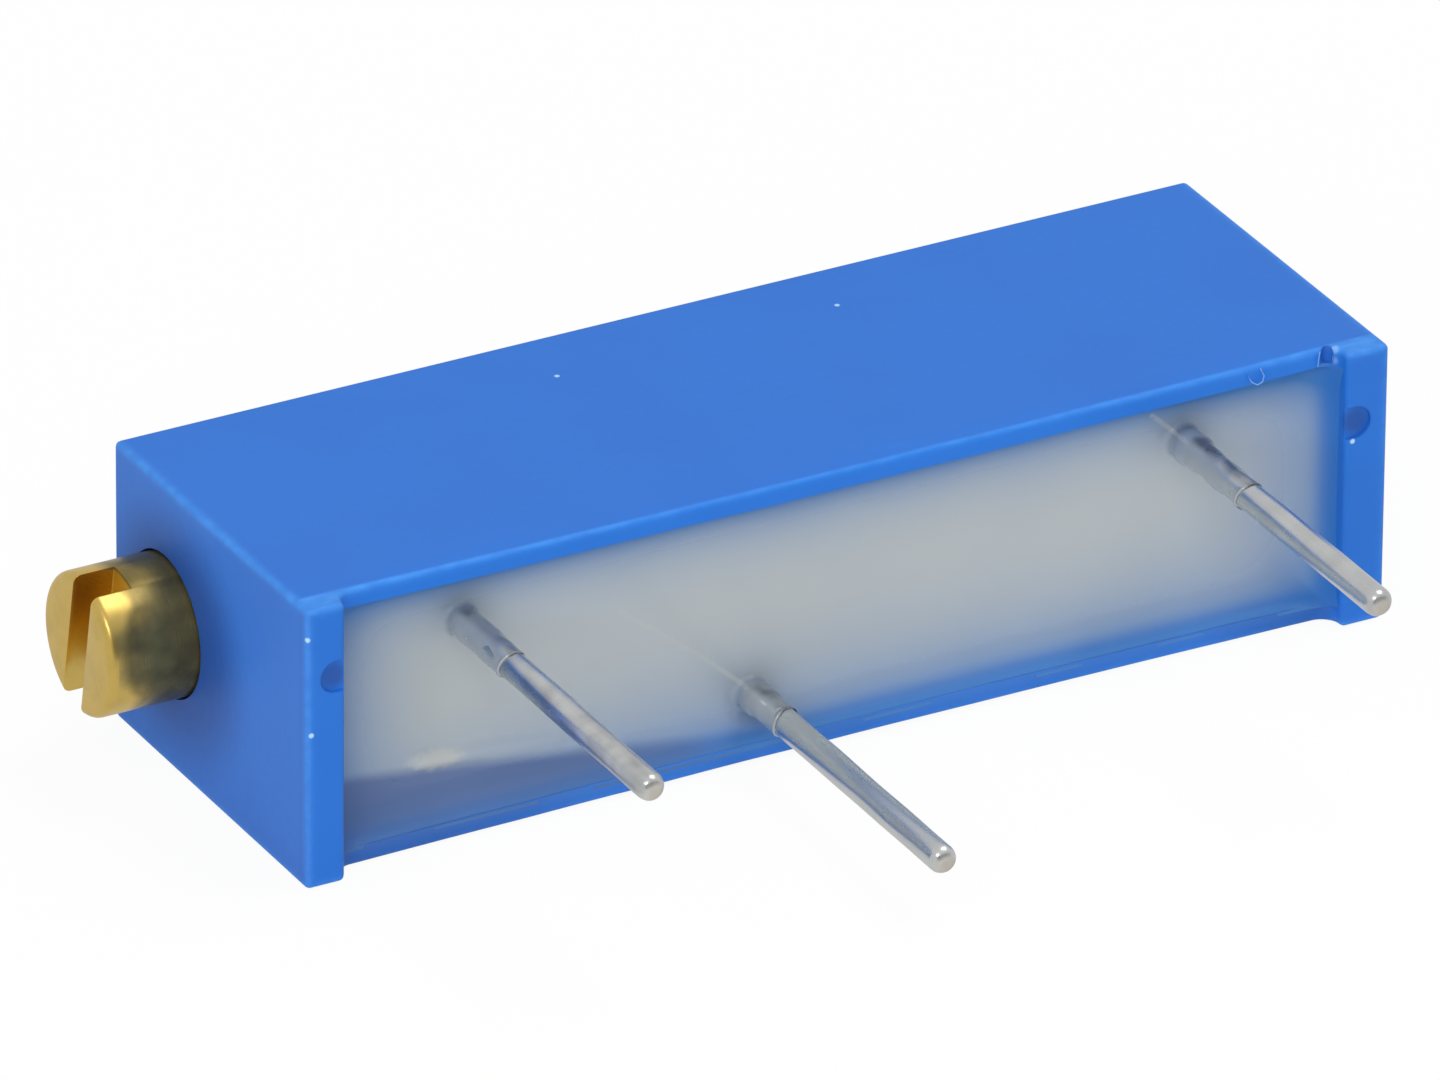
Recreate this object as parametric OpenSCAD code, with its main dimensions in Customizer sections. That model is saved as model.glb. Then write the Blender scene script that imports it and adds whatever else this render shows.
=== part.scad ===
// Multi-turn trimmer potentiometer, lying on one long side.
// X runs from the adjusting screw to the far end, -Y is the side of the pins and +Z is up.
// The origin is on the side that it rests on, in the middle of the body.

/* [Body] */
// Length of the body, along the screw
body_l = 19.05; // [18.9:0.05:20]
// Width of the body, which is its height as it lies on its side
body_w = 4.83; // [4.7:0.01:5.2]
// Height of the body, from the feet to the back
body_h = 6.4; // [6.3:0.05:7]
// Radius of the outer edges of the moulding
edge_r = 0.2; // [0.1:0.01:0.25]
// Thickness of the two long side walls
side_wall = 0.32; // [0.28:0.01:0.4]
// Thickness of the back wall
back_wall = 0.5; // [0.35:0.01:0.6]
// Length of the solid end that carries the screw
screw_end = 2.5; // [2.4:0.01:2.6]
// Length of the solid end that carries the tail of the screw
tail_end = 2.2; // [1.6:0.01:2.4]

/* [Feet] */
// Height that the feet stand beyond the edges of the long walls
foot_h = 0.38; // [0.3:0.01:0.5]
// Thickness of the foot at the screw end
foot_screw_t = 0.68; // [0.6:0.01:0.9]
// Thickness of the foot at the far end
foot_far_t = 0.76; // [0.6:0.01:0.9]
// Radius of the fillet between a foot and a wall edge
foot_fillet = 0.28; // [0.1:0.01:0.3]
// Radius of the half-round notch in each foot
notch_r = 0.28; // [0.15:0.01:0.35]
// Reach of each notch into its foot
notch_reach = 0.44; // [0.36:0.01:0.5]
// Diameter of the nick in the upper wall edge, beside the far foot
nick_d = 0.3; // [0.2:0.01:0.4]
// Depth of the nick into the wall, from inside
nick_t = 0.16; // [0.1:0.01:0.2]

/* [Epoxy] */
// Depth of the epoxy's surface below the feet
pot_drop = 0.85; // [0.82:0.01:1]
// Radius of the epoxy's hollow edge where it climbs the walls
pot_r = 0.4; // [0.2:0.01:0.42]
// Thickness of the epoxy over the ceramic strip
pot_t = 0.7; // [0.5:0.01:0.8]
// Thickness of the epoxy's lip at the walls
pot_lip = 0.03; // [0.02:0.01:0.06]
// Length of the epoxy sleeve on each pin, from the screw end
sleeve_l = [1.75, 1.2, 2.2]; // [0.9:0.05:2.5]
// Wall of the epoxy sleeves
sleeve_wall = 0.04; // [0.03:0.01:0.08]
// Radius of the flare at the root of each sleeve
flare_r = 0.14; // [0.1:0.01:0.35]
// Radius of the bead at the end of each sleeve
bead_r = 0.05; // [0.03:0.01:0.08]
// Length of the raised run of epoxy near the screw end
run_l = 2.8; // [1:0.1:4]
// Width of the raised run
run_w = 0.42; // [0.3:0.01:0.7]
// Height of the raised run
run_h = 0.1; // [0.05:0.01:0.2]
// Distance from the middle of the raised run to the first pin, along the body
run_x = 0.5; // [-0.5:0.05:1]
// Distance from the raised run to the middle of the width
run_z = 1.25; // [0.5:0.05:1.35]
// Turn of the raised run from the length of the body, in degrees
run_turn = -5; // [-10:1:10]

/* [Pins] */
// Diameter of the free length of a pin
pin_d = 0.46; // [0.4:0.01:0.5]
// Diameter of a pin where it is set in the epoxy
root_d = 0.5; // [0.46:0.01:0.56]
// Reach of the pins beyond the feet
pin_l = 5.45; // [4:0.05:8]
// Distance from the screw end of the body to the first pin
pin_in_screw = 3.075; // [3.05:0.005:3.3]
// Distance from the far end of the body to the last pin, which is then 12.7 from the first
pin_in_far = 3.275; // [2.75:0.005:3.3]
// Distance from the first pin to the middle pin
pin_pitch = 5.08; // [5:0.01:7.7]
// Distance from the upper long wall to the upper row of pins
row_in_high = 0.925; // [0.85:0.005:1.1]
// Distance from the lower long wall to the middle pin, which is then 2.54 below the row
row_in_low = 0.725; // [0.65:0.005:0.9]
// Length of the rounding at the tips of the pins
tip_round = 0.14; // [0.05:0.01:0.2]
// Diameter of the flat end of a pin
tip_flat_d = 0.14; // [0.05:0.01:0.3]
// Diameter of the collar that sets each pin against the ceramic strip
collar_d = 0.84; // [0.7:0.01:1]
// Thickness of the collar
collar_t = 0.15; // [0.1:0.01:0.25]

/* [Screw] */
// Diameter of the screw's head and journal
head_d = 2.33; // [2.2:0.01:2.36]
// Length of the head outside the body
head_l = 1.52; // [1:0.01:2]
// Distance from the back of the body to the screw's axis
screw_back = 1.7; // [1.7:0.01:1.9]
// Chamfer at the rim of the head
head_chamfer = 0.15; // [0.05:0.01:0.2]
// Width of the driver slot
slot_w = 0.6; // [0.4:0.01:0.7]
// Depth of the driver slot
slot_depth = 0.7; // [0.5:0.01:0.9]
// Turn of the slot from upright, in degrees
slot_turn = 10; // [-90:1:90]
// Diameter over the thread of the rod
rod_d = 1.4; // [1.2:0.01:1.5]
// Diameter of the tail journal
tail_d = 0.9; // [0.7:0.01:1]
// Length of the tail journal in its socket
tail_l = 0.9; // [0.5:0.01:1.1]
// Radial play of the turning journals in the body
journal_play = 0.035; // [0.02:0.005:0.06]
// Play along the axis between the rod's shoulder and the far end of the room
end_play = 0.1; // [0.05:0.01:0.15]
// Diameter of the flange that bears on the fork
flange_d = 2.13; // [1.9:0.01:2.2]
// Thickness of that flange
flange_t = 0.28; // [0.24:0.01:0.3]
// Width of the land between the fork and the seal
land_l = 0.3; // [0.2:0.01:0.35]
// Width of the groove for the seal
seal_groove_w = 0.56; // [0.5:0.01:0.6]
// Diameter of the cord of the sealing ring
seal_d = 0.4; // [0.36:0.01:0.44]
// Thickness of the retaining fork
fork_t = 0.4; // [0.3:0.01:0.42]
// Width of the retaining fork
fork_w = 2.7; // [2.5:0.01:3]
// Reach of the fork's legs past the screw's axis
fork_reach = 0.85; // [0.6:0.01:0.95]
// Play along the axis on each side of the fork
fork_play = 0.05; // [0.03:0.01:0.06]
// Diameter of the screw in the groove of the fork
fork_groove_d = 1.3; // [1.1:0.01:1.5]

/* [Slider] */
// Length of the slider block
slider_l = 2.4; // [2:0.01:2.5]
// Gap that stays between the slider and the screw end at the end of its travel
stop_screw = 0.2; // [0.1:0.01:1]
// Gap that stays between the slider and the far end at the end of its travel
stop_far = 0.5; // [0.1:0.01:1.5]
// Distance from the printed films to the slider's contact side
slider_gap = 1.28; // [1.2:0.01:1.38]
// Radius of the slider's long edges
slider_edge = 0.15; // [0.05:0.01:0.3]
// Sliding play between the slider, its screw and the walls
slide_play = 0.06; // [0.04:0.01:0.1]
// Radius of the two studs that stake the spring to the slider
stake_r = 0.16; // [0.1:0.01:0.2]
// Distance of the studs from the middle of the width
stake_off = 0.55; // [0.45:0.01:0.6]
// Distance of the studs from the middle of the slider
stake_x = 0.4; // [0.3:0.01:0.5]
// Height of the studs' melted heads
stake_head = 0.1; // [0.05:0.01:0.15]
// Thickness of the contact spring
spring_t = 0.08; // [0.06:0.01:0.12]
// Length of the spring's plate behind the middle of the slider
plate_back = 0.75; // [0.7:0.01:1]
// Length of the spring's plate ahead of the middle of the slider
plate_front = 0.4; // [0.3:0.01:0.5]
// Width of each arm of the contact spring
arm_w = 0.44; // [0.3:0.01:0.5]
// Radius of the bend where an arm turns back
bend_r = 0.16; // [0.12:0.01:0.2]
// Distance of that bend from the middle of the slider
bend_x = 0.66; // [0.6:0.01:0.8]
// Radius of the knuckle that touches a track
knuckle_r = 0.16; // [0.12:0.01:0.2]
// Distance of the knuckles from the middle of the slider
knuckle_x = 0.2; // [0.1:0.01:0.3]
// Width of the slits that part the fingers of an arm
slit_w = 0.04; // [0.03:0.01:0.05]
// Length of the slits
slit_l = 0.7; // [0.5:0.01:0.8]
// Gap left between the contact tips and the tracks
tip_gap = 0.02; // [0.01:0.01:0.05]

/* [Element] */
// Thickness of the ceramic strip
strip_t = 0.64; // [0.5:0.01:0.7]
// Play around the edges of the ceramic strip
strip_play = 0.06; // [0.03:0.01:0.1]
// Thickness of the printed films
film_t = 0.03; // [0.02:0.01:0.05]
// Width of each printed track
track_w = 0.6; // [0.5:0.01:0.6]
// Distance of each track from the middle of the width
track_off = 0.48; // [0.44:0.01:0.5]
// Distance from the first pin to the start of the resistive track, bridged by a pad
pad_screw = 0.625; // [0.55:0.005:0.8]
// Distance from the end of the resistive track to the last pin, bridged by a pad
pad_far = 0.425; // [0.4:0.005:0.8]
// Reach of the pins through the films
pin_stub = 0.18; // [0.1:0.01:0.25]
// Diameter of the solder joints
solder_d = 0.82; // [0.7:0.01:0.84]
// Thickness of the solder around a stub
solder_skin = 0.05; // [0.03:0.01:0.08]
// Height of the solder over a stub
solder_cap = 0.08; // [0.04:0.01:0.12]

/* [Hidden] */
$fn = 48;
eps = 0.01;
fit_play = 0.02;
cut_over = 1;
x_screw = -body_l / 2;
x_far = body_l / 2;
y_feet = -body_h / 2;
y_back = body_h / 2;
z_mid = body_w / 2;
y_wall = y_feet + foot_h;
y_pot = y_feet + pot_drop;
y_lip = y_pot - pot_r;
y_strip = y_pot + pot_t;
y_ledge = y_strip + strip_t;
y_film = y_ledge + film_t;
x_open_0 = x_screw + foot_screw_t;
x_open_1 = x_far - foot_far_t;
x_room_0 = x_screw + screw_end;
x_room_1 = x_far - tail_end;
z_in_0 = side_wall;
z_in_1 = body_w - side_wall;

axis_y = y_back - screw_back;
axis_z = z_mid;
head_r = head_d / 2;
bore_r = head_r + journal_play;
rod_r = rod_d / 2;
tail_r = tail_d / 2;
flange_r = flange_d / 2;
fork_groove_r = fork_groove_d / 2;
x_head = x_screw - head_l;
x_groove_1 = x_room_0 - flange_t;
x_fork_1 = x_groove_1 - fork_play;
x_fork_0 = x_fork_1 - fork_t;
x_groove_0 = x_fork_0 - fork_play;
x_seal_1 = x_groove_0 - land_l;
x_seal_0 = x_seal_1 - seal_groove_w;
seal_floor_r = bore_r - seal_d - fit_play - eps;
seal_mid_r = seal_floor_r + eps + seal_d / 2;
x_rod_1 = x_room_1 - end_play;
x_tail_1 = x_rod_1 + tail_l;
y_fork_1 = axis_y + fork_reach;

root_r = root_d / 2;
pin_r = pin_d / 2;
tip_flat_r = tip_flat_d / 2;
y_tip = y_feet - pin_l;
y_stub = y_film + pin_stub;
pin_x = [x_screw + pin_in_screw, x_screw + pin_in_screw + pin_pitch, x_far - pin_in_far];
z_row_high = z_in_1 - row_in_high;
z_row_low = z_in_0 + row_in_low;
pin_z = [z_row_high, z_row_low, z_row_high];

z_resistive = z_mid + track_off;
z_collector = z_mid - track_off;
travel = x_room_1 - x_room_0 - slider_l - stop_screw - stop_far;
x_slider = x_room_0 + stop_screw + (slider_l + travel) / 2;
x_track_0 = pin_x[0] + pad_screw;
x_track_1 = pin_x[2] - pad_far;
y_slider_0 = y_film + slider_gap;
y_slider_1 = y_back - back_wall - slide_play;
slider_w = z_in_1 - z_in_0 - 2 * slide_play;
y_plate = y_slider_0 - spring_t / 2;
y_touch = y_film + tip_gap + spring_t / 2;

// Box between two corners
module span_box(low, high) {
    translate(low) cube(high - low);
}

// Rectangle with round corners, centred
module round_rect(w, h, r) {
    square([w - 2 * r, h], center = true);
    square([w, h - 2 * r], center = true);
    for (sx = [-1, 1], sy = [-1, 1])
        translate([sx * (w / 2 - r), sy * (h / 2 - r)]) circle(r);
}

// A shape drawn in Y and Z, carried along X
module along_x(x_from, x_to) {
    translate([x_from, 0, 0]) rotate([90, 0, 90]) linear_extrude(x_to - x_from) children();
}

// A shape drawn in X and Z, carried along Y
module along_y(y_from, y_to) {
    translate([0, y_to, 0]) rotate([90, 0, 0]) linear_extrude(y_to - y_from) children();
}

// A round bar along X on the screw's axis
module screw_bar(r, x_from, x_to) {
    translate([x_from, axis_y, axis_z]) rotate([0, 90, 0]) cylinder(r = r, h = x_to - x_from);
}

// A profile of [radius, distance out from Y = 0] turned about the axis of one pin
module pin_turned(i, profile) {
    translate([pin_x[i], 0, pin_z[i]]) rotate([90, 0, 0]) rotate_extrude() polygon(profile);
}

// The body as a solid block with rounded edges
module outer_block() {
    intersection() {
        along_x(x_screw, x_far) translate([0, z_mid]) round_rect(body_h, body_w, edge_r);
        along_y(y_feet, y_back) translate([0, z_mid]) round_rect(body_l, body_w, edge_r);
        linear_extrude(body_w) round_rect(body_l, body_h, edge_r);
    }
}

// The gap between the feet, down to the edges of the long walls
module foot_gap() {
    y_out = y_feet - cut_over;
    translate([0, 0, -eps]) linear_extrude(body_w + 2 * eps) {
        translate([x_open_0 + foot_fillet, y_out])
            square([x_open_1 - x_open_0 - 2 * foot_fillet, y_wall - y_out]);
        translate([x_open_0, y_out])
            square([x_open_1 - x_open_0, y_wall - foot_fillet - y_out]);
        for (x = [x_open_0 + foot_fillet, x_open_1 - foot_fillet])
            translate([x, y_wall - foot_fillet]) circle(foot_fillet);
    }
}

// What is cut away to round the outer edge of each long wall between the feet
module rim_cut() {
    along_x(x_open_0 + foot_fillet, x_open_1 - foot_fillet)
        for (z = [0, body_w]) difference() {
            translate([y_wall - eps, z - edge_r]) square([edge_r + eps, 2 * edge_r]);
            translate([y_wall + edge_r, abs(z - edge_r)]) circle(edge_r);
        }
}

// Half-round notch in the inner side of a foot, in line with the outer pins
module foot_notch(x_face, side) {
    straight = notch_reach - notch_r;
    along_y(y_feet - cut_over, y_lip) {
        translate([x_face + side * straight, z_row_high]) circle(notch_r);
        translate([x_face + side * straight / 2, z_row_high])
            square([straight + eps, 2 * notch_r], center = true);
    }
}

// The moulded body, open on the side of the pins
module housing() {
    color([0.2, 0.45, 0.83]) difference() {
        outer_block();
        foot_gap();
        rim_cut();
        span_box([x_open_0, y_feet - cut_over, z_in_0], [x_open_1, y_ledge, z_in_1]);
        span_box([x_room_0, y_strip, z_in_0], [x_room_1, y_back - back_wall, z_in_1]);
        foot_notch(x_open_0, -1);
        foot_notch(x_open_1, 1);
        translate([x_open_1 - foot_fillet, y_wall, z_in_1 - eps])
            cylinder(d = nick_d, h = nick_t + eps);
        screw_bar(bore_r, x_screw - cut_over, x_room_0 + eps);
        span_box([x_fork_0 - fit_play, y_strip, z_mid - fork_w / 2 - fit_play],
            [x_fork_1 + fit_play, y_fork_1 + fit_play, z_mid + fork_w / 2 + fit_play]);
        screw_bar(tail_r + journal_play, x_room_1 - eps, x_tail_1 + 2 * end_play);
    }
}

// Turned in one piece: slotted head, seal groove, fork groove, rod and tail journal
module adjusting_screw() {
    color([0.78, 0.62, 0.28]) difference() {
        translate([0, axis_y, axis_z]) rotate([0, 90, 0]) rotate_extrude() polygon([
            [0, x_head], [head_r - head_chamfer, x_head], [head_r, x_head + head_chamfer],
            [head_r, x_seal_0], [seal_floor_r, x_seal_0], [seal_floor_r, x_seal_1],
            [head_r, x_seal_1], [head_r, x_groove_0], [fork_groove_r, x_groove_0],
            [fork_groove_r, x_groove_1], [flange_r, x_groove_1], [flange_r, x_room_0],
            [rod_r, x_room_0], [rod_r, x_rod_1], [tail_r, x_rod_1], [tail_r, x_tail_1],
            [0, x_tail_1]]);
        translate([x_head, axis_y, axis_z]) rotate([slot_turn, 0, 0])
            cube([2 * slot_depth, slot_w, 2 * head_d], center = true);
    }
}

// Rubber ring in the outer groove of the screw
module shaft_seal() {
    color([0.15, 0.15, 0.15])
        translate([(x_seal_0 + x_seal_1) / 2, axis_y, axis_z]) rotate([0, 90, 0])
            rotate_extrude() translate([seal_mid_r, 0]) circle(d = seal_d);
}

// Flat fork that drops into the body and holds the screw by its groove
module retaining_fork() {
    throat_r = fork_groove_r + journal_play;
    color([0.75, 0.76, 0.78])
        along_x(x_fork_0, x_fork_1) difference() {
            translate([y_ledge, z_mid - fork_w / 2]) square([y_fork_1 - y_ledge, fork_w]);
            translate([axis_y, axis_z]) circle(throat_r);
            translate([axis_y, axis_z - throat_r]) square([fork_reach + eps, 2 * throat_r]);
        }
}

// Places on the slider's contact side, one for each stud
module at_stakes(y) {
    for (s = [-1, 1]) translate([x_slider - stake_x, y, z_mid + s * stake_off]) rotate([90, 0, 0])
        children();
}

// Block that the screw carries along, with two studs for its spring
module slider() {
    neck = spring_t + 2 * eps;
    color([0.92, 0.91, 0.86]) difference() {
        union() {
            along_x(x_slider - slider_l / 2, x_slider + slider_l / 2)
                translate([(y_slider_0 + y_slider_1) / 2, z_mid])
                    round_rect(y_slider_1 - y_slider_0, slider_w, slider_edge);
            at_stakes(y_slider_0 + eps) {
                cylinder(r = stake_r, h = neck);
                translate([0, 0, neck - eps])
                    cylinder(r1 = stake_r + stake_head, r2 = stake_r, h = stake_head);
            }
        }
        screw_bar(rod_r + slide_play, x_slider - slider_l, x_slider + slider_l);
    }
}

// Direction across a path at one of its points
function side_of(path, i) =
    let (a = path[max(i - 1, 0)], b = path[min(i + 1, len(path) - 1)], d = (b - a) / norm(b - a))
    [-d[1], d[0]];

// Outline of a bent strip of one thickness, along its middle line
function strip_outline(path, t) = concat(
    [for (i = [0:len(path) - 1]) path[i] + side_of(path, i) * t / 2],
    [for (i = [len(path) - 1:-1:0]) path[i] - side_of(path, i) * t / 2]);

// Middle line of a spring arm: off the plate, round the bend, down to the knuckle
function arm_path() = concat(
    [[x_slider + plate_front - spring_t, y_plate]],
    [for (a = [90:-22.5:-90])
        [x_slider + bend_x + bend_r * cos(a), y_plate - bend_r + bend_r * sin(a)]],
    [for (a = [-50:-20:-150])
        [x_slider - knuckle_x + knuckle_r * cos(a), y_touch + knuckle_r + knuckle_r * sin(a)]]);

// One piece of spring strip: a plate on the slider and two slit arms that reach the tracks
module contact_spring() {
    color([0.84, 0.72, 0.42]) {
        difference() {
            span_box([x_slider - plate_back, y_slider_0 - spring_t, z_collector - arm_w / 2],
                [x_slider + plate_front, y_slider_0, z_resistive + arm_w / 2]);
            at_stakes(y_slider_0 + spring_t) cylinder(r = stake_r, h = 3 * spring_t);
        }
        for (z = [z_collector, z_resistive]) difference() {
            translate([0, 0, z - arm_w / 2]) linear_extrude(arm_w)
                polygon(strip_outline(arm_path(), spring_t));
            for (s = [-1, 1])
                translate([x_slider - knuckle_x - 2 * knuckle_r, y_film - cut_over,
                        z + s * arm_w / 6 - slit_w / 2])
                    cube([slit_l, 2 * cut_over, slit_w]);
        }
    }
}

// The holes that the pins pass through
module pin_holes() {
    for (i = [0:2]) translate([pin_x[i], y_strip - cut_over, pin_z[i]]) rotate([-90, 0, 0])
        cylinder(r = root_r + fit_play, h = strip_t + film_t + 2 * cut_over);
}

module ceramic_strip() {
    color([0.93, 0.93, 0.9]) difference() {
        span_box([x_open_0 + strip_play, y_strip, z_in_0 + strip_play],
            [x_open_1 - strip_play, y_ledge, z_in_1 - strip_play]);
        pin_holes();
    }
}

module resistive_track() {
    color([0.12, 0.12, 0.13])
        span_box([x_track_0, y_ledge, z_resistive - track_w / 2],
            [x_track_1, y_film, z_resistive + track_w / 2]);
}

// Bare metal track, with a branch to the middle pin
module collector_track() {
    color([0.7, 0.7, 0.68]) difference() {
        union() {
            span_box([x_track_0, y_ledge, z_collector - track_w / 2],
                [x_track_1, y_film, z_collector + track_w / 2]);
            span_box([pin_x[1] - solder_d / 2, y_ledge, z_row_low - solder_d / 2],
                [pin_x[1] + solder_d / 2, y_film, z_collector]);
        }
        pin_holes();
    }
}

// Printed pad that joins one end of the resistive track to its pin
module end_pad(x_from, x_to) {
    color([0.72, 0.72, 0.7]) difference() {
        span_box([x_from, y_ledge, z_resistive - track_w / 2],
            [x_to, y_film, z_row_high + solder_d / 2]);
        pin_holes();
    }
}

function sleeve_end(i) = -y_pot + sleeve_l[i];

// The solid form of a pin, from its stub on the films to its rounded tip
module pin_form(i) {
    pin_turned(i, concat(
        [[0, -y_stub], [root_r, -y_stub], [root_r, -y_strip], [collar_d / 2, -y_strip],
            [collar_d / 2, -y_strip + collar_t], [root_r, -y_strip + collar_t],
            [root_r, -y_pot], [pin_r, sleeve_end(i)]],
        [for (a = [0:15:90]) [tip_flat_r + (pin_r - tip_flat_r) * cos(a),
            -y_tip - tip_round + tip_round * sin(a)]],
        [[0, -y_tip]]));
}

module terminal_pin(i) {
    color([0.75, 0.76, 0.76]) pin_form(i);
}

// Solder that wets the film and climbs over the stub of a pin
module solder_joint(i) {
    neck_r = root_r + solder_skin;
    color([0.66, 0.67, 0.68]) difference() {
        pin_turned(i, concat(
            [[0, -y_film]],
            [for (a = [0:30:90]) [neck_r + (solder_d / 2 - neck_r) * (1 - sin(a)),
                -y_film - pin_stub * (1 - cos(a))]],
            [[root_r / 2, -y_stub - solder_cap], [0, -y_stub - solder_cap]]));
        pin_form(i);
    }
}

// Thin sleeve that the epoxy draws up a pin, with a flare at its root and a bead at its end
module sleeve(i) {
    r = root_r + sleeve_wall;
    root = -y_pot - flare_r / 2;
    end = sleeve_end(i);
    pin_turned(i, concat(
        [[0, root], [r + flare_r, root]],
        [for (a = [0:15:90]) [r + flare_r * (1 - sin(a)), -y_pot - eps + flare_r * (1 - cos(a))]],
        [for (a = [-60:30:90]) [pin_r + eps + bead_r * cos(a), end - bead_r + bead_r * sin(a)]],
        [[0, end]]));
}

// Hollow surface of the epoxy, as a round-edged body to cut away
module epoxy_hollow() {
    depth = pot_drop + cut_over;
    y_hollow = y_pot - depth / 2;
    x_0 = x_open_0 + pot_lip;
    x_1 = x_open_1 - pot_lip;
    intersection() {
        along_x(x_0, x_1) translate([y_hollow, z_mid])
            round_rect(depth, z_in_1 - z_in_0 - 2 * pot_lip, pot_r);
        translate([(x_0 + x_1) / 2, y_hollow, z_in_0]) linear_extrude(z_in_1 - z_in_0)
            round_rect(x_1 - x_0, depth, pot_r);
    }
}

// Raised run where the epoxy set with a ridge, low and round-ended
module epoxy_run() {
    r = (run_w * run_w / 4 + run_h * run_h) / (2 * run_h);
    straight = run_l - run_w;
    translate([pin_x[0] + run_x, y_pot + r - run_h, z_mid - run_z]) rotate([0, 90 - run_turn, 0]) {
        cylinder(r = r, h = straight, center = true);
        for (s = [-1, 1]) translate([0, 0, s * straight / 2]) sphere(r);
    }
}

// Cast in place over the strip, up the walls and along the pins
module epoxy_fill() {
    color([0.72, 0.76, 0.78]) difference() {
        union() {
            difference() {
                span_box([x_open_0, y_lip, z_in_0], [x_open_1, y_strip, z_in_1]);
                epoxy_hollow();
            }
            intersection() {
                epoxy_run();
                span_box([x_open_0, y_lip, z_in_0], [x_open_1, y_pot + run_h, z_in_1]);
            }
            for (i = [0:2]) sleeve(i);
        }
        for (i = [0:2]) pin_form(i);
    }
}

housing();
adjusting_screw();
shaft_seal();
retaining_fork();
slider();
contact_spring();
ceramic_strip();
resistive_track();
collector_track();
end_pad(x_room_0 + fit_play, x_track_0);  // end_pad_1
end_pad(x_track_1, x_room_1 - fit_play);  // end_pad_3
terminal_pin(0);  // terminal_pin_1
terminal_pin(1);  // terminal_pin_2
terminal_pin(2);  // terminal_pin_3
solder_joint(0);  // solder_joint_1
solder_joint(1);  // solder_joint_2
solder_joint(2);  // solder_joint_3
epoxy_fill();
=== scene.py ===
# Dressed scene of a trimmer potentiometer, in the CAD's own frame.
# Pieces are modelled in millimetres, then brought to metres when they are finished.
from math import cos, exp, hypot, pi, radians, sin, sqrt

import bpy
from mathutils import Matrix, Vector, noise


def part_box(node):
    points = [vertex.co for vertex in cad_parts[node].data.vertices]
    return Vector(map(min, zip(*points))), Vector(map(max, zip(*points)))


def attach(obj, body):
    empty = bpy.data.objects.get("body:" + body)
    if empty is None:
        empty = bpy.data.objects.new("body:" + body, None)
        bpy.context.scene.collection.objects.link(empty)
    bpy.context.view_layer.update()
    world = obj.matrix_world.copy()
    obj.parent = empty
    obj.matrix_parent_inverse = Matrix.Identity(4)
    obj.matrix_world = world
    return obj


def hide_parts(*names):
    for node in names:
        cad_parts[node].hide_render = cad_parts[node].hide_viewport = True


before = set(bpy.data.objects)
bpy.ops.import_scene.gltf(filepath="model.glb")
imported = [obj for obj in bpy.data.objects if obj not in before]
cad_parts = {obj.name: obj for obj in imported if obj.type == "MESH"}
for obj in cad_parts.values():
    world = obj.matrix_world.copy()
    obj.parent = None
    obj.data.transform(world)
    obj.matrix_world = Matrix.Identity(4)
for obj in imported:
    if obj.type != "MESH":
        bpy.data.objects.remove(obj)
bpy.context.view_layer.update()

# Camera, light and background
cameraLook = {
    "place": (-0.140943, -0.254031, 0.155661),
    "turn": (62.1585, -0.4638, -28.6751),  # degrees
    "lens": 528.19,
}
lightLook = {
    "worldLevel": 0.48,  # what a matt surface gets from all around
    "mirrorLevel": 0.64,  # what metal and gloss show of the surroundings
    "floorDirect": 0.94,  # how much of the floor is plain white to the camera
    "floorDrop": 0.00002,
    "floorColour": (0.95, 0.95, 0.95, 1),
}
# The spark gives the small highlights, and the glint the gleam on the brass
lamps = {
    "key": {"place": (-0.163, -0.194, 0.157), "size": 0.26, "power": 0.51, "unseenBy": "glossy"},
    "overhead": {"place": (0.11, -0.02, 0.28), "size": 0.15, "power": 0.31, "unseenBy": "glossy"},
    "spark": {"place": (-0.16, -0.17, 0.20), "size": 0.035, "power": 0.10, "unseenBy": "diffuse"},
    "glint": {"place": (0.102, -0.018, 0.26), "size": 0.14, "power": 0.13, "unseenBy": "diffuse"},
}
# A dark card that only shows in the metal, as a flag does in a studio
cardLook = {
    "place": (0.03, -0.09, 0.03),
    "size": (0.22, 0.075),
    "turn": 90,
    "shade": (0.22, 0.22, 0.22, 1),
}


def deselectAll():
    if bpy.context.object and bpy.context.object.mode != "OBJECT":
        bpy.ops.object.mode_set(mode="OBJECT")
    bpy.ops.object.select_all(action="DESELECT")


def focusOn(piece):
    deselectAll()
    piece.select_set(True)
    bpy.context.view_layer.objects.active = piece


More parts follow.
